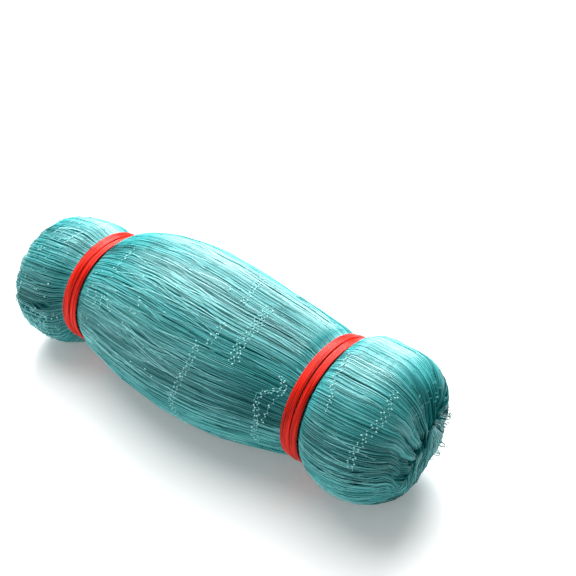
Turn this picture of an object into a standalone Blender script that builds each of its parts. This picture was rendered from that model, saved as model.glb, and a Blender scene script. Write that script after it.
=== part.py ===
"""A hank of nylon fishing net, bound by two red ties and lying on its side.

Metres, +Z up. The hank runs along X and rests on the floor at Z = 0. The netting is one solid: a
barrel between two tied necks, a bulb at each end, a shallow dimple at the far end (-X) and a
puckered mouth that turns in on itself at the near end (+X). Each tie is a ring of flat twine.
"""

import math
from collections import namedtuple

import bmesh
import bpy
from mathutils import Vector
from mathutils.geometry import interpolate_bezier

# Netting: mesh density, and how its surface departs from a plain turned shape. Long shallow lobes
# run the whole way along it with a slow twist, and finer folds run into the mouth and the dimple.
SEGMENTS = 56
RING_SPACING = 0.0125
LOBES = 11
LOBE_HEIGHT = 0.0007
LOBE_TWIST_PER_METRE = math.radians(240)
FOLDS = 10
SECOND_FOLDS = 7
SECOND_FOLD_HEIGHT = 0.4
SECOND_FOLD_TURN = math.radians(57)
SMALLEST_FOLDED = 0.012
SLIT_TILT = math.radians(-36)
SLIT_FOLD = 0.0020
MERGE_DISTANCE = 0.00001

# Ties: a groove in the netting, and turns of twine that lie side by side in it.
TIE_GAP = 0.00045
TIE_TURNS = 4
TURN_WIDTH = 0.0041
TIE_THICKNESS = 0.0032
TURN_DIP = 0.0007
SIDE_CLEARANCE = 0.0006
TIE_STEPS = 48
POINTS_A_TURN = 3
FAR_TIE_X = -0.1290
FAR_TIE_Y = 0.0010
FAR_TIE_Z = 0.0670
FAR_NECK = 0.0495
FAR_SQUASH = 1.05
NEAR_TIE_X = 0.1212
NEAR_TIE_Y = -0.0020
NEAR_TIE_Z = 0.0700
NEAR_NECK = 0.0527
NEAR_SQUASH = 1.07
GROOVE_HALF = 0.5 * TIE_TURNS * TURN_WIDTH + SIDE_CLEARANCE

# Sections of the netting from the far dimple to the bottom of the mouth. heading is the way the
# outline runs on, in degrees: 0 to +X, 90 outward. centre is the height of the section's middle,
# side its shift along Y, stretch how far it is drawn out along the slit of the mouth, and fold
# the height of the folds that run into the mouth or the dimple.
Section = namedtuple("Section", "x radius heading centre side stretch fold")
SECTIONS = (
    Section(-0.2033, 0.0000, 115, 0.0590, -0.002, 1.00, 0.0000),
    Section(-0.2098, 0.0165, 100, 0.0590, -0.002, 1.00, 0.0014),
    Section(-0.2078, 0.0380, 62, 0.0588, -0.003, 1.00, 0.0012),
    Section(-0.1913, 0.0555, 30, 0.0588, -0.003, 1.00, 0.0004),
    Section(-0.1693, 0.0595, 4, 0.0592, -0.001, 1.00, 0.0000),
    Section(-0.1473, 0.0565, -24, 0.0620, 0.000, 1.01, 0.0000),
    Section(FAR_TIE_X - GROOVE_HALF, FAR_NECK, -10, FAR_TIE_Z, FAR_TIE_Y, FAR_SQUASH, 0.0000),
    Section(FAR_TIE_X + GROOVE_HALF, FAR_NECK, 10, FAR_TIE_Z, FAR_TIE_Y, FAR_SQUASH, 0.0000),
    Section(-0.1143, 0.0557, 35, 0.0680, 0.002, 1.02, 0.0000),
    Section(-0.0883, 0.0647, 16, 0.0695, 0.002, 1.00, 0.0000),
    Section(-0.0463, 0.0715, 6, 0.0688, 0.001, 1.00, 0.0000),
    Section(-0.0053, 0.0724, -2, 0.0668, -0.001, 1.00, 0.0000),
    Section(0.0437, 0.0680, -8, 0.0656, -0.002, 1.00, 0.0000),
    Section(0.0857, 0.0606, -11, 0.0670, -0.001, 1.01, 0.0000),
    Section(0.1057, 0.0565, -14, 0.0680, -0.001, 1.03, 0.0000),
    Section(NEAR_TIE_X - GROOVE_HALF, NEAR_NECK, -10, NEAR_TIE_Z, NEAR_TIE_Y, NEAR_SQUASH, 0.0000),
    Section(NEAR_TIE_X + GROOVE_HALF, NEAR_NECK, 60, NEAR_TIE_Z, NEAR_TIE_Y, NEAR_SQUASH, 0.0000),
    Section(0.1335, 0.0585, 48, 0.0700, 0.000, 1.05, 0.0000),
    Section(0.1430, 0.0636, 16, 0.0682, 0.000, 1.03, 0.0000),
    Section(0.1600, 0.0650, 0, 0.0656, 0.000, 1.02, 0.0000),
    Section(0.1867, 0.0602, -30, 0.0652, 0.001, 1.02, 0.0006),
    Section(0.2032, 0.0435, -62, 0.0672, -0.001, 1.03, 0.0020),
    Section(0.2094, 0.0260, -84, 0.0705, -0.010, 1.30, 0.0032),
    Section(0.2090, 0.0135, -115, 0.0730, -0.014, 1.65, 0.0022),
    Section(0.2020, 0.0085, -165, 0.0735, -0.016, 2.00, 0.0006),
    Section(0.1900, 0.0000, -120, 0.0735, -0.017, 1.30, 0.0000),
)

NETTING_TEAL = (0.072, 0.301, 0.305)
TIE_RED = (0.578, 0.020, 0.012)


def clear_scene():
    for old in list(bpy.data.objects):
        bpy.data.objects.remove(old, do_unlink=True)


def new_collection(name):
    collection = bpy.data.collections.new(name)
    bpy.context.scene.collection.children.link(collection)
    return collection


def nylon_material(name, colour, roughness):
    material = bpy.data.materials.new(name)
    material.use_nodes = True
    shader = material.node_tree.nodes["Principled BSDF"]
    shader.inputs["Base Color"].default_value = (*colour, 1.0)
    shader.inputs["Roughness"].default_value = roughness
    shader.inputs["Metallic"].default_value = 0.0
    return material


def blend(start, end, share):
    """The section a share of the way between two others, with its sizes eased from one to the next."""
    eased = share * share * (3.0 - 2.0 * share)
    return start._make(a + (b - a) * eased for a, b in zip(start, end))


def outline():
    """Sections close enough together to loft, along a smooth curve through SECTIONS."""
    rings = [SECTIONS[0]]
    for start, end in zip(SECTIONS, SECTIONS[1:]):
        here = Vector((start.x, start.radius, 0.0))
        there = Vector((end.x, end.radius, 0.0))
        reach = (there - here).length / 3.0
        steps = max(2, math.ceil((there - here).length / RING_SPACING))
        angles = math.radians(start.heading), math.radians(end.heading)
        leave, arrive = (Vector((math.cos(angle), math.sin(angle), 0.0)) * reach for angle in angles)
        curve = interpolate_bezier(here, here + leave, there - arrive, there, steps + 1)
        for step, point in enumerate(curve[1:], start=1):
            ring = blend(start, end, step / steps)
            rings.append(ring._replace(x=point.x, radius=max(point.y, 0.0)))
    return rings


def in_groove(ring):
    """True where a tie's ring lies, so the netting there stays round and clears it."""
    nearest = min(abs(ring.x - FAR_TIE_X), abs(ring.x - NEAR_TIE_X))
    return nearest < GROOVE_HALF + MERGE_DISTANCE


def surface_point(ring, angle):
    """The netting's surface at an angle round a section, from -Y over the top."""
    lobe = 0.0
    if not in_groove(ring):
        lobe = LOBE_HEIGHT * math.sin(LOBES * angle + LOBE_TWIST_PER_METRE * ring.x)
    lobe *= min(1.0, ring.radius / FAR_NECK)
    second = SECOND_FOLD_HEIGHT * math.sin(SECOND_FOLDS * angle + SECOND_FOLD_TURN)
    fold = 0.5 * ring.fold * (math.cos(FOLDS * angle) + second)
    radius = ring.radius + lobe + fold * min(1.0, ring.radius / SMALLEST_FOLDED)
    tilt = SLIT_TILT * min(1.0, ring.fold / SLIT_FOLD) if ring.x > NEAR_TIE_X else 0.0
    long_way = radius * ring.stretch * math.cos(angle - tilt)
    short_way = radius / ring.stretch * math.sin(angle - tilt)
    across = long_way * math.cos(tilt) - short_way * math.sin(tilt)
    up = long_way * math.sin(tilt) + short_way * math.cos(tilt)
    return Vector((ring.x + fold, ring.side - across, max(0.0, ring.centre + up)))


def make_netting(collection):
    """A grid, one row a section, rolled up into the closed netting."""
    rings = outline()
    mesh_maker = bmesh.new()
    last = len(rings) - 1
    bmesh.ops.create_grid(mesh_maker, x_segments=last, y_segments=SEGMENTS, size=0.5)
    for vert in mesh_maker.verts:
        ring = rings[round((vert.co.x + 0.5) * last)]
        vert.co = surface_point(ring, (vert.co.y + 0.5) * math.tau)
    bmesh.ops.remove_doubles(mesh_maker, verts=mesh_maker.verts, dist=MERGE_DISTANCE)
    bmesh.ops.recalc_face_normals(mesh_maker, faces=mesh_maker.faces)
    mesh = bpy.data.meshes.new("net_hank")
    mesh_maker.to_mesh(mesh)
    mesh_maker.free()
    mesh.materials.append(nylon_material("nylon_netting", NETTING_TEAL, 0.45))
    collection.objects.link(bpy.data.objects.new("net_hank", mesh))


def twine_outline():
    """The closed outline of the turns side by side: flat inside, one low crest for each turn."""
    width = TIE_TURNS * TURN_WIDTH
    points = [(-0.5 * width, TIE_GAP), (-0.5 * width, TIE_THICKNESS - 2.0 * TURN_DIP)]
    for turn in range(TIE_TURNS):
        for step in range(1, POINTS_A_TURN + 1):
            share = step / (POINTS_A_TURN + 1)
            crest = TURN_DIP * math.sin(math.pi * share)
            x = (turn + share) * TURN_WIDTH - 0.5 * width
            points.append((x, TIE_THICKNESS - TURN_DIP + crest))
    points += [(0.5 * width, TIE_THICKNESS - 2.0 * TURN_DIP), (0.5 * width, TIE_GAP)]
    return points


def make_tie(name, place, neck, squash, collection):
    """The twine's outline turned once round the neck."""
    mesh_maker = bmesh.new()
    verts = [mesh_maker.verts.new((along, 0.0, neck + out)) for along, out in twine_outline()]
    for start, end in zip(verts, verts[1:] + verts[:1]):
        mesh_maker.edges.new((start, end))
    mesh = bpy.data.meshes.new(name)
    mesh_maker.to_mesh(mesh)
    mesh_maker.free()
    mesh.materials.append(nylon_material(name + "_twine", TIE_RED, 0.35))
    tie = bpy.data.objects.new(name, mesh)
    tie.location = place
    tie.scale = (1.0, squash, 1.0 / squash)
    collection.objects.link(tie)
    turned = tie.modifiers.new("turned", "SCREW")
    turned.axis = "X"
    turned.steps = TIE_STEPS
    turned.render_steps = TIE_STEPS
    turned.use_merge_vertices = True
    turned.merge_threshold = MERGE_DISTANCE
    turned.use_normal_calculate = True


clear_scene()
hank = new_collection("fishing_net_hank")
make_netting(hank)
make_tie("tie_far", (FAR_TIE_X, FAR_TIE_Y, FAR_TIE_Z), FAR_NECK, FAR_SQUASH, hank)
make_tie("tie_near", (NEAR_TIE_X, NEAR_TIE_Y, NEAR_TIE_Z), NEAR_NECK, NEAR_SQUASH, hank)
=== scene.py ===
"""Looks of a bound hank of nylon fishing net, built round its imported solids.

Metres, +Z up. The hank lies along X on the floor at Z = 0, its tied mouth at the near end (+X).
"""

import math
from collections import namedtuple

import bmesh
import bpy
import numpy as np
from mathutils import Matrix, Vector
from mathutils.geometry import interpolate_bezier


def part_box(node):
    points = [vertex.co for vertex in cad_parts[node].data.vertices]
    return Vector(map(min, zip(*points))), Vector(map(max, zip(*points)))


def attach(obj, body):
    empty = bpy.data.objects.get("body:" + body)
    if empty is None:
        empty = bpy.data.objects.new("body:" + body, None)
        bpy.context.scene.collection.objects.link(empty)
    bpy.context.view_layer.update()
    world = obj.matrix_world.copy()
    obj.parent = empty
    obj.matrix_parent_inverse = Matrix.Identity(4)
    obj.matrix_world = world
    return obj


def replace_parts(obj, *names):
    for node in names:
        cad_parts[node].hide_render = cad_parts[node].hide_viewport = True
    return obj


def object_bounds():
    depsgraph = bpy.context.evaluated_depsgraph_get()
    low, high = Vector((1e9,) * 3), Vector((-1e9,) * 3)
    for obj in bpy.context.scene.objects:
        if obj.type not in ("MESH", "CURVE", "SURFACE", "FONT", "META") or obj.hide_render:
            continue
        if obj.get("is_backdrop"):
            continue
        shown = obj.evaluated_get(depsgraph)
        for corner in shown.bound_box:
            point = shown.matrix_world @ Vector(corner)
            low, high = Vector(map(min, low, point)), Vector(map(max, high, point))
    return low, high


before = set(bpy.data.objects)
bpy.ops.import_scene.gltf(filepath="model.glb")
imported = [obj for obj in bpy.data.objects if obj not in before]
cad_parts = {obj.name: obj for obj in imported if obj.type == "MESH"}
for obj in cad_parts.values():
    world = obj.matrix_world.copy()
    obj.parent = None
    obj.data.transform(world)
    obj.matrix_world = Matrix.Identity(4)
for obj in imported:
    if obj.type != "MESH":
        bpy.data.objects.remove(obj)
cad_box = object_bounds()


# ---- Wound netting -------------------------------------------------------------------------------
# The net is gathered lengthwise and wound many layers deep, so that only its outer filaments are
# seen one by one. This is the mass under them, painted near black as the shade in the gaps, pleated
# into the mouth at the near end and into a shallow dimple at the far end.

FAR_TIE = sum(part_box("tie_far"), Vector()) / 2
NEAR_TIE = sum(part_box("tie_near"), Vector()) / 2
GROOVE_HALF = 0.0088
FAR_NECK = 0.0495
FAR_SQUASH = 1.05
NEAR_NECK = 0.0527
NEAR_SQUASH = 1.07

# Sections from the bottom of the far dimple to the bottom of the mouth. heading is the way the
# outline runs on, in degrees: 0 to +X, 90 outward. centre is the height of the section's middle,
# side its shift along Y, stretch how far it is drawn out along the slit of the mouth, and pleat
# the height of the pleats there.
Section = namedtuple("Section", "x radius heading centre side stretch pleat")
SECTIONS = (
    Section(-0.1960, 0.0020, 130, 0.0590, -0.002, 1.00, 0.0000),
    Section(-0.2090, 0.0150, 105, 0.0590, -0.002, 1.00, 0.0026),
    Section(-0.2078, 0.0380, 62, 0.0588, -0.003, 1.00, 0.0022),
    Section(-0.1913, 0.0555, 30, 0.0588, -0.003, 1.00, 0.0010),
    Section(-0.1693, 0.0595, 4, 0.0592, -0.001, 1.00, 0.0000),
    Section(-0.1473, 0.0565, -24, 0.0620, 0.000, 1.01, 0.0000),
    Section(FAR_TIE.x - GROOVE_HALF, FAR_NECK, -10, FAR_TIE.z, FAR_TIE.y, FAR_SQUASH, 0.0000),
    Section(FAR_TIE.x + GROOVE_HALF, FAR_NECK, 10, FAR_TIE.z, FAR_TIE.y, FAR_SQUASH, 0.0000),
    Section(-0.1143, 0.0557, 35, 0.0680, 0.002, 1.02, 0.0000),
    Section(-0.0883, 0.0647, 16, 0.0695, 0.002, 1.00, 0.0000),
    Section(-0.0463, 0.0715, 6, 0.0688, 0.001, 1.00, 0.0000),
    Section(-0.0053, 0.0724, -2, 0.0668, -0.001, 1.00, 0.0000),
    Section(0.0437, 0.0680, -8, 0.0656, -0.002, 1.00, 0.0000),
    Section(0.0857, 0.0606, -11, 0.0670, -0.001, 1.01, 0.0000),
    Section(0.1057, 0.0565, -14, 0.0680, -0.001, 1.03, 0.0000),
    Section(NEAR_TIE.x - GROOVE_HALF, NEAR_NECK, -10, NEAR_TIE.z, NEAR_TIE.y, NEAR_SQUASH, 0.0000),
    Section(NEAR_TIE.x + GROOVE_HALF, NEAR_NECK, 72, NEAR_TIE.z, NEAR_TIE.y, NEAR_SQUASH, 0.0000),
    Section(0.1335, 0.0590, 48, 0.0700, 0.000, 1.05, 0.0000),
    Section(0.1430, 0.0638, 16, 0.0682, 0.000, 1.03, 0.0000),
    Section(0.1600, 0.0652, 0, 0.0656, 0.000, 1.02, 0.0000),
    Section(0.1867, 0.0602, -30, 0.0652, 0.001, 1.02, 0.0005),
    Section(0.2032, 0.0435, -62, 0.0672, -0.001, 1.03, 0.0044),
    Section(0.2094, 0.0260, -84, 0.0705, -0.010, 1.30, 0.0078),
    Section(0.2096, 0.0125, -108, 0.0735, -0.015, 1.80, 0.0074),
    Section(0.2040, 0.0080, -168, 0.0735, -0.017, 2.40, 0.0020),
    Section(0.1830, 0.0016, -165, 0.0735, -0.018, 3.60, 0.0000),
)
STATION_SPACING = 0.002
FULL_TURN = math.tau


def ease(low, high, value):
    """0 below low, 1 above high, and a smooth rise between; low above high makes it a fall."""
    share = np.clip((value - low) / (high - low), 0.0, 1.0)
    return share * share * (3.0 - 2.0 * share)


def outline_stations():
    """Rows of x, radius, centre, side, stretch and pleat, close together along the outline."""
    rows = []
    for start, end in zip(SECTIONS, SECTIONS[1:]):
        here = Vector((start.x, start.radius, 0.0))
        there = Vector((end.x, end.radius, 0.0))
        reach = (there - here).length / 3.0
        steps = max(2, math.ceil((there - here).length / STATION_SPACING))
        angles = math.radians(start.heading), math.radians(end.heading)
        leave, arrive = (Vector((math.cos(a), math.sin(a), 0.0)) * reach for a in angles)
        curve = interpolate_bezier(here, here + leave, there - arrive, there, steps + 1)
        for step, point in enumerate(curve[:-1]):
            eased = float(ease(0.0, 1.0, step / steps))
            rest = [a + (b - a) * eased for a, b in zip(start[3:], end[3:])]
            rows.append([point.x, point.y, *rest])
    last = SECTIONS[-1]
    rows.append([last.x, last.radius, *last[3:]])
    return np.array(rows)


STATIONS = outline_stations()
X, RADIUS, CENTRE, SIDE, STRETCH, PLEAT = range(6)
STEP_LENGTHS = np.linalg.norm(np.diff(STATIONS[:, :2], axis=0), axis=1)
RUN = np.concatenate([[0.0], np.cumsum(STEP_LENGTHS)])
WHOLE_RUN = RUN[-1]
OUTLINE_WAY = np.gradient(STATIONS[:, :2], RUN, axis=0)


def station(run, column):
    """One column of the stations at a distance run along the outline from the far dimple."""
    return np.interp(run, RUN, STATIONS[:, column])


PLEAT_PLACES = 720
PLEAT_ROUNDNESS = 0.7
PLEAT_MIDDLE = 0.7


def pleat_profile(count, seed):
    """Heights, 0 to 1, round the hank: rounded pleats of uneven width, with sharp creases between."""
    draw = np.random.default_rng(seed)
    creases = np.sort((np.arange(count) + draw.uniform(-0.38, 0.38, count)) / count) * FULL_TURN
    creases = np.concatenate([creases, [creases[0] + FULL_TURN]])
    tops = draw.uniform(0.45, 1.0, count)
    places = np.linspace(0.0, FULL_TURN, PLEAT_PLACES, endpoint=False)
    wrapped = np.where(places < creases[0], places + FULL_TURN, places)
    which = np.clip(np.searchsorted(creases, wrapped, side="right") - 1, 0, count - 1)
    across = (wrapped - creases[which]) / (creases[which + 1] - creases[which])
    return tops[which] * np.sin(np.pi * across) ** PLEAT_ROUNDNESS


BROAD_AND_FINE_PLEATS = 0.8 * pleat_profile(14, 5) + 0.2 * pleat_profile(37, 6)
PLEATS = np.append(BROAD_AND_FINE_PLEATS, BROAD_AND_FINE_PLEATS[0])
PLEAT_ANGLES = np.linspace(0.0, FULL_TURN, PLEAT_PLACES + 1)

# The mouth's upper lip swells in ribs, between an outer and an inner pair of radii.
LIP_RISE = 0.0030
LIP_MIDDLE = math.radians(50)
LIP_HALF = math.radians(95)
LIP_OUTER_EDGE = (0.034, 0.020)
LIP_INNER_EDGE = (0.005, 0.011)
RIB_TURN = math.radians(22)
RIB_LOWEST = 0.5
RIB_RISE = 0.8


def upper_lip(run, angle):
    """How far the upper lip of the mouth swells out over the slit, in ribs like drawn-in cloth."""
    away = np.abs(np.mod(angle - LIP_MIDDLE + np.pi, FULL_TURN) - np.pi)
    radius = station(run, RADIUS)
    band = ease(*LIP_OUTER_EDGE, radius) * ease(*LIP_INNER_EDGE, radius)
    rib = np.abs(np.sin(np.pi * (angle - LIP_MIDDLE) / RIB_TURN)) ** PLEAT_ROUNDNESS
    ribs = RIB_LOWEST + RIB_RISE * rib
    return LIP_RISE * ribs * band * ease(LIP_HALF, 0.35 * LIP_HALF, away) * (run > WHOLE_RUN / 2)


SLIT_TILT = math.radians(-36)
SLIT_STARTS = 0.185
SLIT_FULL = 0.207
LEAST_RADIUS = 0.0003
FLOOR_GAP = 0.0006


def on_netting(run, angle, lift):
    """Points on the hank: run along its outline, angle round it from -Y over the top, lift above it."""
    x = station(run, X)
    radius = station(run, RADIUS)
    way_x = np.interp(run, RUN, OUTLINE_WAY[:, 0])
    way_out = np.interp(run, RUN, OUTLINE_WAY[:, 1])
    pleat = np.interp(np.mod(angle, FULL_TURN), PLEAT_ANGLES, PLEATS)
    rise = lift + station(run, PLEAT) * (pleat - PLEAT_MIDDLE) + upper_lip(run, angle)
    x = x - way_out * rise
    radius = np.maximum(radius + way_x * rise, LEAST_RADIUS)
    stretch = station(run, STRETCH)
    tilt = SLIT_TILT * ease(SLIT_STARTS, SLIT_FULL, x) * (run > WHOLE_RUN / 2)
    long_way = radius * stretch * np.cos(angle - tilt)
    short_way = radius / stretch * np.sin(angle - tilt)
    across = long_way * np.cos(tilt) - short_way * np.sin(tilt)
    up = long_way * np.sin(tilt) + short_way * np.cos(tilt)
    points = np.stack([x, station(run, SIDE) - across, station(run, CENTRE) + up], axis=-1)
    points[..., 2] = np.maximum(points[..., 2], FLOOR_GAP)
    return points


def put_in_scene(name, mesh, material):
    """A finished mesh as a piece of the hank."""
    mesh.materials.clear()
    mesh.materials.append(material)
    piece = bpy.data.objects.new(name, mesh)
    bpy.context.scene.collection.objects.link(piece)
    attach(piece, "root")
    return piece


# The body lies deeper inside the BODY_MOUTH radii, where the filaments over it draw apart.
BODY_ROWS = 150
BODY_COLUMNS = 150
BODY_DEPTH = 0.0014
MOUTH_DEPTH = 0.0024
BODY_MOUTH = (0.046, 0.034)
MERGE_DISTANCE = 0.00001


def make_body():
    """A grid rolled up into the closed mass of netting, which lies deeper at the mouth."""
    mesh_maker = bmesh.new()
    bmesh.ops.create_grid(mesh_maker, x_segments=BODY_ROWS, y_segments=BODY_COLUMNS, size=0.5)
    flat = np.array([vert.co for vert in mesh_maker.verts])
    along = (flat[:, 0] + 0.5) * WHOLE_RUN
    mouth = ease(*BODY_MOUTH, station(along, RADIUS)) * (along > WHOLE_RUN / 2)
    depth = BODY_DEPTH + MOUTH_DEPTH * mouth
    rolled = on_netting(along, (flat[:, 1] + 0.5) * FULL_TURN, -depth)
    for vert, place in zip(mesh_maker.verts, rolled):
        vert.co = place
    bmesh.ops.remove_doubles(mesh_maker, verts=mesh_maker.verts, dist=MERGE_DISTANCE)
    rims = [edge for edge in mesh_maker.edges if edge.is_boundary]
    bmesh.ops.holes_fill(mesh_maker, edges=rims)
    bmesh.ops.recalc_face_normals(mesh_maker, faces=mesh_maker.faces)
    mesh = bpy.data.meshes.new("netting_body")
    mesh_maker.to_mesh(mesh)
    mesh_maker.free()
    mesh.shade_smooth()
    return mesh


def painted_shade_body_material():
    """Deep layers in painted shade: fine streaks along the hank's length, dark between."""
    material = bpy.data.materials.new("deep_netting_painted_shade")
    material.use_nodes = True
    nodes, links = material.node_tree.nodes, material.node_tree.links
    shader = nodes["Principled BSDF"]
    shader.inputs["Roughness"].default_value = 0.60
    shader.inputs["Specular IOR Level"].default_value = 0.08
    place = nodes.new("ShaderNodeTexCoord")
    stretch = nodes.new("ShaderNodeMapping")
    stretch.inputs["Scale"].default_value = (12.0, 900.0, 900.0)
    streaks = nodes.new("ShaderNodeTexNoise")
    streaks.inputs["Scale"].default_value = 1.0
    streaks.inputs["Detail"].default_value = 3.0
    tints = nodes.new("ShaderNodeValToRGB")
    tints.color_ramp.elements[0].position = 0.35
    tints.color_ramp.elements[0].color = (0.001, 0.010, 0.011, 1.0)
    tints.color_ramp.elements[1].position = 0.70
    tints.color_ramp.elements[1].color = (0.005, 0.060, 0.064, 1.0)
    links.new(place.outputs["Object"], stretch.inputs["Vector"])
    links.new(stretch.outputs["Vector"], streaks.inputs["Vector"])
    links.new(streaks.outputs["Fac"], tints.inputs["Fac"])
    links.new(tints.outputs["Color"], shader.inputs["Base Color"])
    return material


body = put_in_scene("netting_body", make_body(), painted_shade_body_material())
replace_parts(body, "net_hank")


# ---- Outer filaments -----------------------------------------------------------------------------
# The stretched meshes' legs lie side by side as long fine filaments of nylon. They bunch in flat
# locks that drift a little to and fro, pass under both ties and turn in at the two ends.

# Layers from the deepest out, each with a lower shade the deeper it lies, as painted shade; the last,
# thin and dark, parts the others as painted shadow in the gaps. radius is a filament's own, lift its
# height over the hank's outline, mix and wander how unlike its neighbours' its shade and its path
# are, and in_locks how far it drifts with its lock.
Layer = namedtuple("Layer", "count radius lift shade mix wander in_locks")
LAYERS = (
    Layer(430, 0.00046, -0.0008, 0.30, 0.06, 0.0003, 0.2),
    Layer(1120, 0.00031, -0.0003, 0.48, 0.08, 0.0003, 1.0),
    Layer(400, 0.00031, 0.00012, 0.64, 0.10, 0.0004, 1.0),
    # Painted shadow: thin dark filaments that stand for the gaps between the others.
    Layer(380, 0.00015, 0.00022, 0.06, 0.03, 0.0004, 1.0),
)
BARREL_STEP = 0.0150
BULB_STEP = 0.0078
BARREL_END = 0.095

rng = np.random.default_rng(41)


def filament_runs():
    """Places of a filament's points along the outline, closer together where it turns more."""
    step = np.where(np.abs(STATIONS[:, X]) < BARREL_END, BARREL_STEP, BULB_STEP)
    counted = np.concatenate([[0.0], np.cumsum(STEP_LENGTHS / step[1:])])
    return np.interp(np.linspace(0.0, counted[-1], int(counted[-1]) + 1), counted, RUN)


RUNS = filament_runs()


def drift(count, waves, size):
    """A smooth random drift along the hank for each of count filaments, size either way."""
    share = RUNS[None, :] / WHOLE_RUN
    total = np.zeros((count, len(RUNS)))
    for wave in range(1, waves + 1):
        phase = rng.uniform(0.0, FULL_TURN, (count, 1))
        height = rng.normal(0.0, 1.0, (count, 1))
        total += height * np.sin((wave + 0.3) * FULL_TURN * share + phase)
    return size * total / math.sqrt(waves)


TIE_REACH = 0.022


def under_ties():
    """1 where the filaments pass under a tie, 0 away from it."""
    x = station(RUNS, X)
    near = np.minimum(np.abs(x - FAR_TIE.x), np.abs(x - NEAR_TIE.x))
    return ease(GROOVE_HALF + TIE_REACH, GROOVE_HALF, near)


# The swirl starts at one side of the mouth, is whole from SWIRL_FULL on, and fades out on the
# far side by SWIRL_ENDS. It grows as the outline narrows from the outer radius to the inner.
SWIRL_OUTER = 0.058
SWIRL_INNER = 0.007
SWIRL_TURN = math.radians(190)
SWIRL_STARTS = math.radians(22)
SWIRL_FULL = math.radians(-60)
SWIRL_ENDS = math.radians(-230)
SWIRL_FADE = math.radians(180)
SWIRL_SEAM = math.radians(260)


def swirl(angle):
    """The turn of the filaments round the near end, where the lower ones sweep along its lip."""
    turned = np.mod(angle + SWIRL_SEAM, FULL_TURN) - SWIRL_SEAM
    share = ease(SWIRL_STARTS, SWIRL_FULL, turned)
    share = share * np.clip((turned - SWIRL_ENDS) / SWIRL_FADE, 0.0, 1.0)
    lip = np.log(SWIRL_OUTER / np.maximum(station(RUNS, RADIUS), SWIRL_INNER))
    lip = np.clip(lip / math.log(SWIRL_OUTER / SWIRL_INNER), 0.0, 1.0) * (RUNS > WHOLE_RUN / 2)
    return -SWIRL_TURN * share * lip


def spread(angle):
    """How much farther apart than usual the swirl draws neighbouring filaments."""
    small = 0.01
    return np.abs(1.0 + (swirl(angle + small) - swirl(angle - small)) / (2.0 * small))


# Patches of painted light and painted shade on the netting, a painted highlight where the shade
# rises and painted shadow where it falls: the middle and half size of each, with angles in degrees,
# and how much it changes the filaments' shade.
PaintedLight = namedtuple("PaintedLight", "x angle x_half angle_half change")
PAINTED_LIGHT = (
    PaintedLight(0.170, 84, 0.036, 42, 0.22),
    PaintedLight(-0.158, 8, 0.030, 30, -0.25),
    PaintedLight(0.100, 24, 0.026, 24, -0.25),
    PaintedLight(0.190, 10, 0.022, 34, -0.16),
    PaintedLight(-0.060, 24, 0.035, 22, 0.14),
    PaintedLight(0.045, 118, 0.055, 34, -0.10),
    PaintedLight(0.208, 160, 0.012, 76, -0.46),
)


def painted_light(angle):
    """Painted highlight where the patches raise the shade, painted shade where they lower it."""
    total = np.zeros(angle.shape)
    for patch in PAINTED_LIGHT:
        away = np.mod(angle - math.radians(patch.angle) + np.pi, FULL_TURN) - np.pi
        across = away / math.radians(patch.angle_half)
        along = (station(RUNS, X) - patch.x) / patch.x_half
        total += patch.change * np.exp(-(across**2) - along**2)
    return total


# The stations on the outer face, between the two ends' farthest points.
OUTER = slice(int(np.argmin(STATIONS[:, X])), int(np.argmax(STATIONS[:, X])) + 1)

# Gaps between locks, each from one x and angle to another, with angles in degrees.
Parting = namedtuple("Parting", "x_from x_to angle_from angle_to width")
OPEN_PARTINGS = (
    Parting(-0.200, -0.140, -5, 17, 0.0034),
    Parting(0.136, 0.205, 13, -9, 0.0012),
    Parting(0.160, 0.209, 20, -3, 0.0020),
)
SMALL_PARTINGS = 26
PARTING_TAPER = 0.7
PARTING_EDGE = 0.0006
PARTING_REACH = 0.005
PARTED_LEAST_RADIUS = 0.01


def random_parting():
    """A short gap between locks somewhere on the hank."""
    x_from = rng.uniform(-0.19, 0.15)
    length = rng.uniform(0.02, 0.07)
    angle = rng.uniform(-180, 180)
    lean = rng.uniform(-5, 5)
    return Parting(x_from, x_from + length, angle - lean, angle + lean, rng.uniform(0.0001, 0.0003))


def part_locks(angle, partings):
    """The filaments' angles with the neighbours of each parting pushed aside from it."""
    x = station(RUNS, X)
    radius = np.maximum(station(RUNS, RADIUS), PARTED_LEAST_RADIUS)
    outside = (RUNS > RUN[OUTER.start]) & (RUNS < RUN[OUTER.stop - 1])
    for parting in partings:
        share = (x - parting.x_from) / (parting.x_to - parting.x_from)
        middle = np.radians(parting.angle_from + (parting.angle_to - parting.angle_from) * share)
        taper = np.sin(np.pi * np.clip(share, 0.0, 1.0)) ** PARTING_TAPER
        opened = parting.width * taper * outside
        away = (np.mod(angle - middle + np.pi, FULL_TURN) - np.pi) * radius
        push = opened * np.tanh(away / PARTING_EDGE) * np.exp(-np.abs(away) / PARTING_REACH)
        angle = angle + push / radius
    return angle


# The filaments of a lock drift, rise and take a tint together. All lie flat under the ties, are
# darkened inside the two ends with painted shade, and are thicker where the swirl draws them apart.
LOCKS = 110
LOCK_DRIFT = 0.0006
DRIFT_RADIUS = 0.06
LOCK_LIFT = 0.00006
LOCK_SHADE = 0.016
LIFT_DRIFT = 0.00013
SHADE_DRIFT = 0.035
PAINTED_SHADE_BY_LIFT = 110.0
TIED_FLAT = 0.85
INSIDE = (0.024, 0.010)
INSIDE_FROM = 0.18
INSIDE_PAINTED_SHADE = 0.45
CONTRAST = 1.2
CONTRAST_LOST_ON_TOP = 0.7
THICKER_WHERE_SPREAD = 0.2
THICKEST = 1.9


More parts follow.
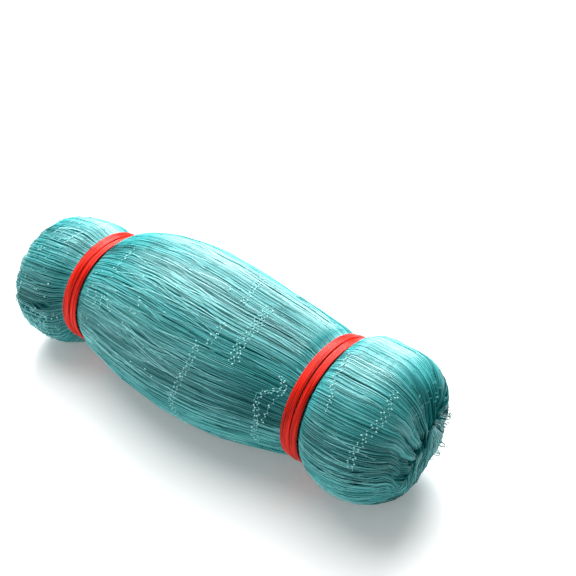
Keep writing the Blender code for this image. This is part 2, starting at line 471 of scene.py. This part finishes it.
def make_filaments():
    """Angle, lift, shade and radius of every outer filament at RUNS, one row each."""
    loose = 1.0 - TIED_FLAT * under_ties()
    inside = ease(*INSIDE, station(RUNS, RADIUS)) * (np.abs(station(RUNS, X)) > INSIDE_FROM)
    lock_drift = drift(LOCKS, 3, LOCK_DRIFT) / DRIFT_RADIUS
    lock_lift = drift(LOCKS, 5, LOCK_LIFT)
    lock_shade = drift(LOCKS, 5, LOCK_SHADE)
    angles, lifts, shades, radii = [], [], [], []
    for layer in LAYERS:
        order = np.arange(layer.count) + rng.uniform(-0.5, 0.5, layer.count)
        start = order[:, None] * FULL_TURN / layer.count
        lock = np.floor(np.mod(start[:, 0], FULL_TURN) / FULL_TURN * LOCKS).astype(int)
        angle = start + layer.in_locks * lock_drift[lock]
        angle += drift(layer.count, 5, layer.wander) / DRIFT_RADIUS
        rise = lock_lift[lock] + drift(layer.count, 8, LIFT_DRIFT)
        # Painted shade by height: the lower filaments darker, the higher ones paler.
        unlike = lock_shade[lock] + drift(layer.count, 10, SHADE_DRIFT) + PAINTED_SHADE_BY_LIFT * rise
        unlike = unlike + rng.normal(0.0, layer.mix, (layer.count, 1))
        drawn_tight = np.clip(np.sin(angle), 0.0, 1.0) ** 2
        contrast = CONTRAST - CONTRAST_LOST_ON_TOP * drawn_tight
        # The patches of painted light and shade go onto the filaments' shade here.
        shade = layer.shade + painted_light(angle) + contrast * unlike
        thicker = 1.0 - THICKER_WHERE_SPREAD + THICKER_WHERE_SPREAD * spread(angle)
        angles.append(angle)
        lifts.append(layer.lift + rise * loose)
        # Painted shade darkens the filaments inside both ends.
        shades.append(np.clip(shade - INSIDE_PAINTED_SHADE * inside, 0.0, 1.0))
        radii.append(layer.radius * np.clip(thicker, 1.0, THICKEST))
    return [np.concatenate(rows) for rows in (angles, lifts, shades, radii)]


FACING_STEP = 0.0015
FACING_LEAST_RADIUS = 0.004


def facing(run, angle):
    """The way the hank's surface faces, as unit vectors, from the slopes along and round it."""
    along = on_netting(run + FACING_STEP, angle, 0.0) - on_netting(run - FACING_STEP, angle, 0.0)
    turn = FACING_STEP / np.maximum(station(run, RADIUS), FACING_LEAST_RADIUS)
    around = on_netting(run, angle + turn, 0.0) - on_netting(run, angle - turn, 0.0)
    away = np.cross(along, around)
    return away / np.maximum(np.linalg.norm(away, axis=-1, keepdims=True), 1e-12)


TUBE_SIDES = 3


def filament_nodes():
    """Geometry nodes that make thin tubes of chains of edges, as thick as painted on them."""
    group = bpy.data.node_groups.new("filament_tubes", "GeometryNodeTree")
    group.interface.new_socket("Geometry", in_out="INPUT", socket_type="NodeSocketGeometry")
    group.interface.new_socket("Geometry", in_out="OUTPUT", socket_type="NodeSocketGeometry")
    nodes, links = group.nodes, group.links
    chains = nodes.new("NodeGroupInput")
    threads = nodes.new("GeometryNodeMeshToCurve")
    thickness = nodes.new("GeometryNodeInputNamedAttribute")
    thickness.data_type = "FLOAT"
    thickness.inputs["Name"].default_value = "thickness"
    section = nodes.new("GeometryNodeCurvePrimitiveCircle")
    section.inputs["Resolution"].default_value = TUBE_SIDES
    section.inputs["Radius"].default_value = 1.0
    tubes = nodes.new("GeometryNodeCurveToMesh")
    tubes.inputs["Fill Caps"].default_value = True
    done = nodes.new("NodeGroupOutput")
    links.new(chains.outputs[0], threads.inputs["Mesh"])
    links.new(threads.outputs["Curve"], tubes.inputs["Curve"])
    links.new(thickness.outputs["Attribute"], tubes.inputs["Scale"])
    links.new(section.outputs["Curve"], tubes.inputs["Profile Curve"])
    links.new(tubes.outputs["Mesh"], done.inputs[0])
    return group


FILAMENT_TUBES = filament_nodes()
BUNDLE_SHARE = 0.76


def make_tubes(name, paths, shades, thicknesses, faces):
    """One mesh of tubes along paths; each path's shades, radii and the way the hank faces there.

    The tubes' normals lean to the hank's own, because packed filaments catch light as one surface.
    """
    mesh_maker = bmesh.new()
    for path in paths:
        chain = [mesh_maker.verts.new(point) for point in path]
        for start, end in zip(chain, chain[1:]):
            mesh_maker.edges.new((start, end))
    chains = bpy.data.meshes.new(name + "_chains")
    mesh_maker.to_mesh(chains)
    mesh_maker.free()
    for label, values in (("shade", shades), ("thickness", thicknesses)):
        painted = chains.attributes.new(label, "FLOAT", "POINT")
        painted.data.foreach_set("value", np.concatenate([np.ravel(v) for v in values]))
    painted = chains.attributes.new("facing", "FLOAT_VECTOR", "POINT")
    painted.data.foreach_set("vector", np.concatenate([np.ravel(v) for v in faces]))
    holder = bpy.data.objects.new(name + "_holder", chains)
    bpy.context.scene.collection.objects.link(holder)
    holder.modifiers.new("tubes", "NODES").node_group = FILAMENT_TUBES
    solved = holder.evaluated_get(bpy.context.evaluated_depsgraph_get())
    mesh = bpy.data.meshes.new_from_object(solved)
    mesh.name = name
    bpy.data.objects.remove(holder)
    bpy.data.meshes.remove(chains)
    mesh.shade_smooth()
    own = np.zeros(3 * len(mesh.vertices), np.float32)
    mesh.vertex_normals.foreach_get("vector", own)
    hank = np.zeros(3 * len(mesh.vertices), np.float32)
    mesh.attributes["facing"].data.foreach_get("vector", hank)
    mixed = ((1.0 - BUNDLE_SHARE) * own + BUNDLE_SHARE * hank).reshape(-1, 3)
    mixed /= np.maximum(np.linalg.norm(mixed, axis=1, keepdims=True), 1e-9)
    mesh.attributes.remove(mesh.attributes["facing"])
    mesh.normals_split_custom_set_from_vertices(mixed.tolist())
    return mesh


FILAMENT_TINTS = (
    (0.001, 0.030, 0.033),
    (0.004, 0.150, 0.155),
    (0.020, 0.332, 0.340),
    (0.075, 0.505, 0.515),
    (0.300, 0.780, 0.780),
)


def filament_material():
    """Nylon filament: its tint and gloss come from the shade painted on it, dark to pale."""
    material = bpy.data.materials.new("filament_nylon")
    material.use_nodes = True
    nodes, links = material.node_tree.nodes, material.node_tree.links
    shader = nodes["Principled BSDF"]
    shader.inputs["Roughness"].default_value = 0.38
    shade = nodes.new("ShaderNodeAttribute")
    shade.attribute_name = "shade"
    gloss = nodes.new("ShaderNodeMapRange")
    gloss.inputs["From Min"].default_value = 0.24
    gloss.inputs["From Max"].default_value = 0.52
    gloss.inputs["To Min"].default_value = 0.0
    gloss.inputs["To Max"].default_value = 0.85
    links.new(shade.outputs["Fac"], gloss.inputs["Value"])
    links.new(gloss.outputs["Result"], shader.inputs["Specular IOR Level"])
    tints = nodes.new("ShaderNodeValToRGB")
    tints.color_ramp.elements[0].color = (*FILAMENT_TINTS[0], 1.0)
    tints.color_ramp.elements[1].color = (*FILAMENT_TINTS[-1], 1.0)
    for place, colour in enumerate(FILAMENT_TINTS[1:-1], start=1):
        stop = tints.color_ramp.elements.new(place / (len(FILAMENT_TINTS) - 1))
        stop.color = (*colour, 1.0)
    links.new(shade.outputs["Fac"], tints.inputs["Fac"])
    links.new(tints.outputs["Color"], shader.inputs["Base Color"])
    return material


FILAMENT_PIECES = 5

# Near the mouth the filaments lie looser, so that each catches the light more on its own.
LOOSE_MOUTH = (0.042, 0.032)
LOOSE_SHARE = 0.85

filament_nylon = filament_material()
angles, lifts, shades, radii = make_filaments()
partings = [*OPEN_PARTINGS, *(random_parting() for _ in range(SMALL_PARTINGS))]
angles = part_locks(angles + swirl(angles), partings)
filament_places = np.broadcast_to(RUNS, angles.shape)
points = on_netting(filament_places, angles, lifts)
loose_at_mouth = ease(*LOOSE_MOUTH, station(RUNS, RADIUS)) * (RUNS > WHOLE_RUN / 2)
faces = facing(filament_places, angles) * (1.0 - LOOSE_SHARE * loose_at_mouth)[None, :, None]
sector = np.floor(np.mod(angles[:, 0], FULL_TURN) / FULL_TURN * FILAMENT_PIECES).astype(int)
for number in range(FILAMENT_PIECES):
    rows = sector == number
    name = f"netting_filaments_{number + 1}"
    mesh = make_tubes(name, points[rows], shades[rows], radii[rows], faces[rows])
    put_in_scene(name, mesh, filament_nylon)


# ---- Crossing filaments --------------------------------------------------------------------------
# Slack legs of the mesh stray over the others at a slant and catch the light, which is painted on
# them as a paler shade, a painted highlight. Most lie on the far half of the barrel and on the bulbs,
# and two hang loose under the near bulb.

# Groups of strays. The angles they start between are in degrees; slant is how much they turn aside.
Strays = namedtuple("Strays", "count x_from x_to angle_from angle_to shortest longest slant")
STRAYS = (
    Strays(95, -0.112, -0.005, 0, 78, 0.035, 0.085, 0.11),
    Strays(40, -0.110, 0.080, 85, 340, 0.035, 0.090, 0.10),
    Strays(14, 0.000, 0.090, -30, 90, 0.030, 0.060, 0.06),
    Strays(60, 0.132, 0.165, -60, 32, 0.028, 0.060, 0.10),
    Strays(24, 0.132, 0.175, 60, 300, 0.018, 0.045, 0.14),
    Strays(46, -0.200, -0.150, 0, 360, 0.016, 0.036, 0.20),
)
STRAY_POINTS = 13
STRAY_RADIUS = 0.00025
STRAY_BURIED = -0.0009
STRAY_PROUD = 0.0008
STRAY_BOW = 0.08
STRAY_RISE = 0.6
STRAY_HIGHLIGHT_SHADE = 0.82
STRAY_MIX = 0.08


def run_at(x):
    """The distance along the outline at which its outer face reaches x."""
    return np.interp(x, STATIONS[OUTER, X], RUN[OUTER])


def stray(x_from, length, angle, slant, proud):
    """One stray's path: it rises out of the hank, crosses at a slant and sinks back in."""
    share = np.linspace(0.0, 1.0, STRAY_POINTS)
    run = run_at(x_from) + length * share
    bow = rng.normal(0.0, STRAY_BOW) * slant * np.sin(np.pi * share)
    drawn = angle + (slant * (share - 0.5) + bow) * length / DRIFT_RADIUS
    lift = STRAY_BURIED + (proud - STRAY_BURIED) * np.sin(np.pi * share) ** STRAY_RISE
    return run, drawn, lift


stray_runs, stray_angles, stray_lifts = [], [], []
for group in STRAYS:
    for _ in range(group.count):
        x_from = rng.uniform(group.x_from, group.x_to)
        length = rng.uniform(group.shortest, group.longest)
        angle = math.radians(rng.uniform(group.angle_from, group.angle_to))
        slant = rng.normal(0.0, group.slant)
        run, drawn, lift = stray(x_from, length, angle, slant, STRAY_PROUD * rng.uniform(0.5, 1.1))
        stray_runs.append(run)
        stray_angles.append(drawn)
        stray_lifts.append(lift)

# Two strands hang loose under the near bulb, from one x and angle, in degrees, to another.
LooseStrand = namedtuple("LooseStrand", "x_from x_to angle_from angle_to hang")
LOOSE_STRANDS = (
    LooseStrand(0.131, 0.176, -36, -52, 0.0032),
    LooseStrand(0.134, 0.168, -33, -45, 0.0018),
)
LOOSE_RISE = 0.8

for strand in LOOSE_STRANDS:
    share = np.linspace(0.0, 1.0, STRAY_POINTS)
    turned = strand.angle_from + (strand.angle_to - strand.angle_from) * share
    hang = (strand.hang - STRAY_BURIED) * np.sin(np.pi * share) ** LOOSE_RISE
    stray_runs.append(run_at(strand.x_from + (strand.x_to - strand.x_from) * share))
    stray_angles.append(np.radians(turned))
    stray_lifts.append(STRAY_BURIED + hang)
stray_runs, stray_angles, stray_lifts = map(np.array, (stray_runs, stray_angles, stray_lifts))
stray_points = on_netting(stray_runs, stray_angles, stray_lifts)
each_point = np.ones(STRAY_POINTS)
# The strays' pale shade is a painted highlight.
stray_shades = rng.normal(STRAY_HIGHLIGHT_SHADE, STRAY_MIX, (len(stray_points), 1)) * each_point
stray_shades = np.clip(stray_shades, 0.0, 1.0)
stray_radii = STRAY_RADIUS * rng.uniform(0.7, 1.2, (len(stray_points), 1)) * each_point
stray_faces = facing(stray_runs, stray_angles)
stray_mesh = make_tubes("crossing_filaments", stray_points, stray_shades, stray_radii, stray_faces)
put_in_scene("crossing_filaments", stray_mesh, filament_nylon)


# ---- Knots of the mesh ---------------------------------------------------------------------------
# Every mesh is closed by a small hard knot. Drawn out lengthwise, the knots of one round of meshes
# come to lie in a pale dotted line across the hank, with the short slack legs between them.

# Lines of knots: the places each passes through, as x in millimetres and angle in degrees, and how
# many strands of knots lie side by side in it.
KnotLine = namedtuple("KnotLine", "places strands")
KNOT_LINES = (
    KnotLine(((-83, 84), (-86, 58)), 1),
    KnotLine(((-94, 39), (-91, 27)), 1),
    KnotLine(((-86, 41), (-83, 31)), 1),
    KnotLine(((-78, 42), (-74, 33)), 1),
    KnotLine(((20, 90), (21, 83)), 1),
    KnotLine(((26, 118), (33, 100), (38, 84)), 2),
    KnotLine(((57, 93), (60, 72), (58, 56), (60, 42)), 3),
    KnotLine(((37, 65), (34, 47)), 2),
    KnotLine(((26, 45), (24, 28), (18, 15), (9, -6), (8, -20)), 2),
    KnotLine(((99, 50), (107, 42), (88, 29), (90, 6), (87, -17)), 2),
    KnotLine(((108, 40), (100, 26), (96, 8)), 1),
    KnotLine(((86, 112), (96, 110)), 2),
    KnotLine(((138, 88), (144, 72), (143, 65), (151, 48)), 1),
    KnotLine(((146, 58), (152, 40)), 1),
    KnotLine(((188, 77), (190, 62), (190, 50), (185, 36), (181, 24), (181, 11)), 2),
    KnotLine(((-178, 62), (-181, 52)), 1),
    KnotLine(((-184, 26), (-189, 14)), 1),
    KnotLine(((-160, 70), (-156, 88)), 1),
    KnotLine(((-168, 4), (-147, -2)), 1),
)
HIDDEN_KNOT_LINES = 17
BARREL_SPAN = (-85, 95)
NEAR_BULB_SPAN = (140, 185)
FAR_BULB_SPAN = (-185, -150)
USUAL_RADIUS = 0.062
KNOT_SPACING = 0.0027
KNOT_SCATTER = 0.0004
KNOTS_SUNK = 0.12
KNOT_SIZE = 0.00062
KNOT_LENGTH = 1.35
KNOT_TURN = 0.9
KNOT_LIFT = 0.00050
STRAND_GAP = 0.0033
ZIGZAG = 0.0008
LEG_RADIUS = 0.00016
LEG_SHADE = 0.85
LEG_BELOW = 0.0001


def hidden_knot_line():
    """A line of knots on the side turned from the front, round part of the hank."""
    spans = (BARREL_SPAN, BARREL_SPAN, NEAR_BULB_SPAN, FAR_BULB_SPAN)
    x = rng.choice([rng.uniform(*span) for span in spans])
    angle = rng.uniform(120, 330)
    places = [(x, angle)]
    for _ in range(rng.integers(2, 5)):
        x = x + rng.normal(0.0, 5.0)
        angle = angle + rng.uniform(10, 18)
        places.append((x, angle))
    return KnotLine(tuple(places), int(rng.integers(1, 4)))


def knot_places(line):
    """Runs and angles of the knots along each of a line's strands."""
    x = np.array([place[0] for place in line.places]) / 1000.0
    angle = np.radians([place[1] for place in line.places])
    way = np.hypot(np.diff(x), np.diff(angle) * USUAL_RADIUS)
    passed = np.concatenate([[0.0], np.cumsum(way)])
    for strand in range(line.strands):
        at = np.arange(0.0, passed[-1], KNOT_SPACING) + rng.uniform(0.0, KNOT_SPACING)
        at = at + rng.normal(0.0, 0.25 * KNOT_SPACING, len(at))
        across = (strand - 0.5 * (line.strands - 1)) * STRAND_GAP
        zigzag = ZIGZAG * np.where(np.arange(len(at)) % 2, 1.0, -1.0)
        scatter = rng.normal(0.0, KNOT_SCATTER, len(at))
        knot_x = np.interp(at, passed, x) + across + zigzag + scatter
        yield run_at(knot_x), np.interp(at, passed, angle)


knot_spots, leg_runs, leg_angles, leg_lifts = [], [], [], []
for line in [*KNOT_LINES, *(hidden_knot_line() for _ in range(HIDDEN_KNOT_LINES))]:
    for run, angle in knot_places(line):
        shown = rng.uniform(size=len(run)) > KNOTS_SUNK
        knot_spots.extend(on_netting(run, angle, np.full(len(run), KNOT_LIFT))[shown])
        leg_runs.append(run)
        leg_angles.append(angle)
        leg_lifts.append(np.full(len(run), KNOT_LIFT - LEG_BELOW))

# Knots that lie alone, off the lines: how many, and between which places, with angles in degrees.
LoneKnots = namedtuple("LoneKnots", "count x_from x_to angle_from angle_to")
LONE_KNOTS = (
    LoneKnots(46, -0.205, -0.142, 0, 360),
    LoneKnots(44, -0.112, -0.010, -12, 74),
    LoneKnots(24, 0.000, 0.100, 90, 330),
)

for group in LONE_KNOTS:
    run = run_at(rng.uniform(group.x_from, group.x_to, group.count))
    angle = np.radians(rng.uniform(group.angle_from, group.angle_to, group.count))
    knot_spots.extend(on_netting(run, angle, np.full(group.count, KNOT_LIFT)))

knot_maker = bmesh.new()
for spot in knot_spots:
    size = KNOT_SIZE * rng.uniform(0.75, 1.2)
    long_side = Matrix.Diagonal((KNOT_LENGTH, 1.0, 1.0, 1.0))
    turned = Matrix.Rotation(rng.uniform(-KNOT_TURN, KNOT_TURN), 4, "Z")
    placed = Matrix.Translation(Vector(spot)) @ turned @ long_side
    bmesh.ops.create_icosphere(knot_maker, subdivisions=1, radius=size, matrix=placed)
knot_mesh = bpy.data.meshes.new("mesh_knots")
knot_maker.to_mesh(knot_mesh)
knot_maker.free()
knot_mesh.shade_smooth()


def knot_material():
    """Pale hard nylon, its tint varying in small patches."""
    material = bpy.data.materials.new("knot_nylon")
    material.use_nodes = True
    nodes, links = material.node_tree.nodes, material.node_tree.links
    shader = nodes["Principled BSDF"]
    shader.inputs["Roughness"].default_value = 0.28
    place = nodes.new("ShaderNodeTexCoord")
    patches = nodes.new("ShaderNodeTexNoise")
    patches.inputs["Scale"].default_value = 350.0
    tints = nodes.new("ShaderNodeValToRGB")
    tints.color_ramp.elements[0].position = 0.35
    tints.color_ramp.elements[0].color = (0.20, 0.60, 0.60, 1.0)
    tints.color_ramp.elements[1].position = 0.65
    tints.color_ramp.elements[1].color = (0.48, 0.84, 0.83, 1.0)
    links.new(place.outputs["Object"], patches.inputs["Vector"])
    links.new(patches.outputs["Fac"], tints.inputs["Fac"])
    links.new(tints.outputs["Color"], shader.inputs["Base Color"])
    return material


put_in_scene("mesh_knots", knot_mesh, knot_material())
leg_points = [on_netting(*leg) for leg in zip(leg_runs, leg_angles, leg_lifts)]
leg_shades = [np.full(len(path), LEG_SHADE) for path in leg_points]
leg_radii = [np.full(len(path), LEG_RADIUS) for path in leg_points]
leg_faces = [facing(run, angle) for run, angle in zip(leg_runs, leg_angles)]
leg_mesh = make_tubes("knot_legs", leg_points, leg_shades, leg_radii, leg_faces)
put_in_scene("knot_legs", leg_mesh, filament_nylon)


# ---- Edge loops ----------------------------------------------------------------------------------
# At both ends the meshes double back on themselves. Their bends, of the same nylon filament, stand
# out as small loops along the lower rim of the mouth and over the far bulb.

# Groups of loops. The angles they stand between are in degrees; height is how far they stand out.
Loops = namedtuple("Loops", "count x_from x_to angle_from angle_to height shade")
LOOPS = (
    Loops(26, 0.2025, 0.2065, 172, 238, 0.0034, 0.36),
    Loops(22, 0.1980, 0.2080, 60, 165, 0.0014, 0.66),
    Loops(150, -0.2080, -0.1900, 0, 360, 0.0020, 0.50),
    Loops(100, -0.1930, -0.1600, 0, 360, 0.0013, 0.70),
    Loops(44, -0.1850, -0.1450, -22, 4, 0.0016, 0.82),
)
LOOP_POINTS = 9
LOOP_WIDTH = 0.0015
LOOP_LEAN = 0.0012
LOOP_ROUND = (-0.15, 1.15)
LOOP_RADIUS = 0.00031

loop_points, loop_faces, loop_shades = [], [], []
for group in LOOPS:
    for _ in range(group.count):
        run = float(run_at(rng.uniform(group.x_from, group.x_to)))
        angle = math.radians(rng.uniform(group.angle_from, group.angle_to))
        height = group.height * rng.uniform(0.6, 1.3)
        width = LOOP_WIDTH * rng.uniform(0.8, 1.4)
        lean = rng.uniform(-LOOP_LEAN, LOOP_LEAN)
        bend = np.linspace(*LOOP_ROUND, LOOP_POINTS) * np.pi
        around = angle - width * np.cos(bend) / station(run, RADIUS)
        lift = height * np.sin(bend)
        along = np.full(LOOP_POINTS, run) + lean * np.sin(bend)
        loop_points.append(on_netting(along, around, lift))
        loop_faces.append(facing(along, around))
        loop_shades.append(np.full(LOOP_POINTS, group.shade))
loop_radii = [np.full(LOOP_POINTS, LOOP_RADIUS) for _ in loop_points]
loop_mesh = make_tubes("edge_loops", loop_points, loop_shades, loop_radii, loop_faces)
put_in_scene("edge_loops", loop_mesh, filament_nylon)


# ---- Ties ----------------------------------------------------------------------------------------
# Each neck is bound with four turns of flat red polypropylene twine, wound tight side by side so
# that the turns ride over each other a little. The ends are tucked underneath.

TURN_STEPS = 96
TURN_THICKNESS = 0.0016
TWINE_SECTION = 34
TWINE_RIBS = 5
RIB_DEPTH = 0.26
TWINE_SIDES = 0.75
TWINE_FACES = 0.55
LEVEL_WAVE = 0.0003
TWINE_MERGE = 0.000005

# Turns of twine across a tie: the middle and width of each, how high it lies, and how far it wanders
# along the hank as it goes round, with the phase in degrees.
Turn = namedtuple("Turn", "offset width level wave phase")
NEAR_TURNS = (
    Turn(-0.0052, 0.0062, 0.0009, 0.0006, 20),
    Turn(-0.0008, 0.0048, 0.0012, 0.0012, 215),
    Turn(0.0030, 0.0050, 0.0008, 0.0010, 60),
    Turn(0.0060, 0.0046, 0.0011, 0.0005, 250),
)
FAR_TURNS = (
    Turn(-0.0054, 0.0054, 0.0009, 0.0006, 130),
    Turn(-0.0016, 0.0048, 0.0013, 0.0012, 310),
    Turn(0.0022, 0.0046, 0.0008, 0.0011, 60),
    Turn(0.0056, 0.0050, 0.0011, 0.0005, 190),
)


def make_turns(name, middle, neck, squash, turns):
    """Flat twine laid round the neck turn by turn, each turn a closed rolled-up grid."""
    mesh_maker = bmesh.new()
    for turn in turns:
        before = len(mesh_maker.verts)
        bmesh.ops.create_grid(
            mesh_maker, x_segments=TURN_STEPS, y_segments=TWINE_SECTION, size=0.5
        )
        mesh_maker.verts.ensure_lookup_table()
        for vert in mesh_maker.verts[before:]:
            around = (vert.co.x + 0.5) * FULL_TURN
            section = (vert.co.y + 0.5) * FULL_TURN
            wide = math.copysign(abs(math.cos(section)) ** TWINE_SIDES, math.cos(section))
            thick = math.copysign(abs(math.sin(section)) ** TWINE_FACES, math.sin(section))
            ribs = 1.0 + RIB_DEPTH * math.cos(TWINE_RIBS * math.pi * wide)
            along = turn.offset + turn.wave * math.sin(around + math.radians(turn.phase))
            along += 0.5 * turn.width * wide
            level = turn.level + LEVEL_WAVE * math.sin(2 * around + math.radians(turn.phase))
            out = neck + level + 0.5 * TURN_THICKNESS * (1.0 + thick * ribs)
            y = -out * squash * math.cos(around)
            z = out / squash * math.sin(around)
            vert.co = middle + Vector((along, y, z))
    bmesh.ops.remove_doubles(mesh_maker, verts=mesh_maker.verts, dist=TWINE_MERGE)
    bmesh.ops.recalc_face_normals(mesh_maker, faces=mesh_maker.faces)
    mesh = bpy.data.meshes.new(name)
    mesh_maker.to_mesh(mesh)
    mesh_maker.free()
    mesh.shade_smooth()
    return mesh


def twine_material():
    """Flat red twine: glossy, with fine lines along its length and a little wear in its colour."""
    material = bpy.data.materials.new("red_twine")
    material.use_nodes = True
    nodes, links = material.node_tree.nodes, material.node_tree.links
    shader = nodes["Principled BSDF"]
    shader.inputs["Roughness"].default_value = 0.30
    shader.inputs["Specular IOR Level"].default_value = 0.08
    place = nodes.new("ShaderNodeTexCoord")
    stretch = nodes.new("ShaderNodeMapping")
    stretch.inputs["Scale"].default_value = (1150.0, 24.0, 24.0)
    lines = nodes.new("ShaderNodeTexNoise")
    lines.inputs["Scale"].default_value = 1.0
    lines.inputs["Detail"].default_value = 2.0
    tints = nodes.new("ShaderNodeValToRGB")
    tints.color_ramp.elements[0].position = 0.34
    tints.color_ramp.elements[0].color = (0.24, 0.003, 0.001, 1.0)
    tints.color_ramp.elements[1].position = 0.60
    tints.color_ramp.elements[1].color = (0.78, 0.022, 0.010, 1.0)
    bump = nodes.new("ShaderNodeBump")
    bump.inputs["Distance"].default_value = 0.0003
    bump.inputs["Strength"].default_value = 0.6
    links.new(place.outputs["Object"], stretch.inputs["Vector"])
    links.new(stretch.outputs["Vector"], lines.inputs["Vector"])
    links.new(lines.outputs["Fac"], tints.inputs["Fac"])
    links.new(tints.outputs["Color"], shader.inputs["Base Color"])
    links.new(lines.outputs["Fac"], bump.inputs["Height"])
    links.new(bump.outputs["Normal"], shader.inputs["Normal"])
    return material


red_twine = twine_material()
near_turns = make_turns("tie_near_turns", NEAR_TIE, NEAR_NECK, NEAR_SQUASH, NEAR_TURNS)
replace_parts(put_in_scene("tie_near_turns", near_turns, red_twine), "tie_near")
far_turns = make_turns("tie_far_turns", FAR_TIE, FAR_NECK, FAR_SQUASH, FAR_TURNS)
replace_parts(put_in_scene("tie_far_turns", far_turns, red_twine), "tie_far")


# ---- Floor, light and camera ---------------------------------------------------------------------
# A pale sheet of paper under a white studio: a soft light behind the hank, another high above it
# and a weak one in front. The paper glows faintly of itself, a painted light that lightens its
# shadows and the underside of the hank.

floor_maker = bmesh.new()
bmesh.ops.create_grid(floor_maker, x_segments=1, y_segments=1, size=4.0)
floor_mesh = bpy.data.meshes.new("floor")
floor_maker.to_mesh(floor_mesh)
floor_maker.free()
floor = bpy.data.objects.new("floor", floor_mesh)
bpy.context.scene.collection.objects.link(floor)
paper = bpy.data.materials.new("white_paper")
paper.use_nodes = True
paper_shader = paper.node_tree.nodes["Principled BSDF"]
paper_shader.inputs["Base Color"].default_value = (0.86, 0.86, 0.86, 1.0)
paper_shader.inputs["Roughness"].default_value = 0.9
# A faint glow of the paper's own, painted light that lightens the shadows.
paper_shader.inputs["Emission Color"].default_value = (1.0, 1.0, 1.0, 1.0)
paper_shader.inputs["Emission Strength"].default_value = 0.15
floor_mesh.materials.append(paper)
floor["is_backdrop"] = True

world = bpy.data.worlds.new("studio")
bpy.context.scene.world = world
world.use_nodes = True
sky = world.node_tree.nodes["Background"]
sky.inputs["Color"].default_value = (1.0, 1.0, 1.0, 1.0)
sky.inputs["Strength"].default_value = 0.31


def soft_light(name, place, aim, width, height, power):
    """A soft box at place, facing aim."""
    lamp = bpy.data.lights.new(name, "AREA")
    lamp.shape = "RECTANGLE"
    lamp.size = width
    lamp.size_y = height
    lamp.energy = power
    holder = bpy.data.objects.new(name, lamp)
    holder.location = place
    holder.rotation_euler = (Vector(aim) - Vector(place)).to_track_quat("-Z", "Y").to_euler()
    bpy.context.scene.collection.objects.link(holder)
    return holder


HANK_MIDDLE = (0.0, 0.0, 0.06)
FAR_HALF = (-0.05, 0.0, 0.06)
UNDER_HANK = (0.0, 0.0, 0.0)
soft_light("key_light", (-0.55, 1.00, 1.05), HANK_MIDDLE, width=1.5, height=0.8, power=52.0)
soft_light("side_light", (-1.05, -1.35, 0.55), FAR_HALF, width=1.4, height=1.0, power=7.0)
soft_light("overhead_light", (-0.55, 0.35, 1.42), UNDER_HANK, width=1.6, height=1.6, power=35.0)

camera_data = bpy.data.cameras.new("camera")
camera_data.lens = 75.0
camera_data.sensor_width = 36.0
camera_data.clip_start = 0.01
camera = bpy.data.objects.new("camera", camera_data)
turn = Matrix.Rotation(math.radians(38.824), 4, "Z")
lean = Matrix.Rotation(math.radians(52.0), 4, "X")
roll = Matrix.Rotation(math.radians(-1.837), 4, "Z")
camera.matrix_world = Matrix.Translation((0.5390, -0.5737, 0.7371)) @ turn @ lean @ roll
bpy.context.scene.collection.objects.link(camera)
bpy.context.scene.camera = camera
bpy.context.scene.view_settings.view_transform = "Standard"

looks_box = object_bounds()
boxes = {"cad": cad_box, "looks": looks_box}
{key: [list(corner) for corner in box] for key, box in boxes.items()}
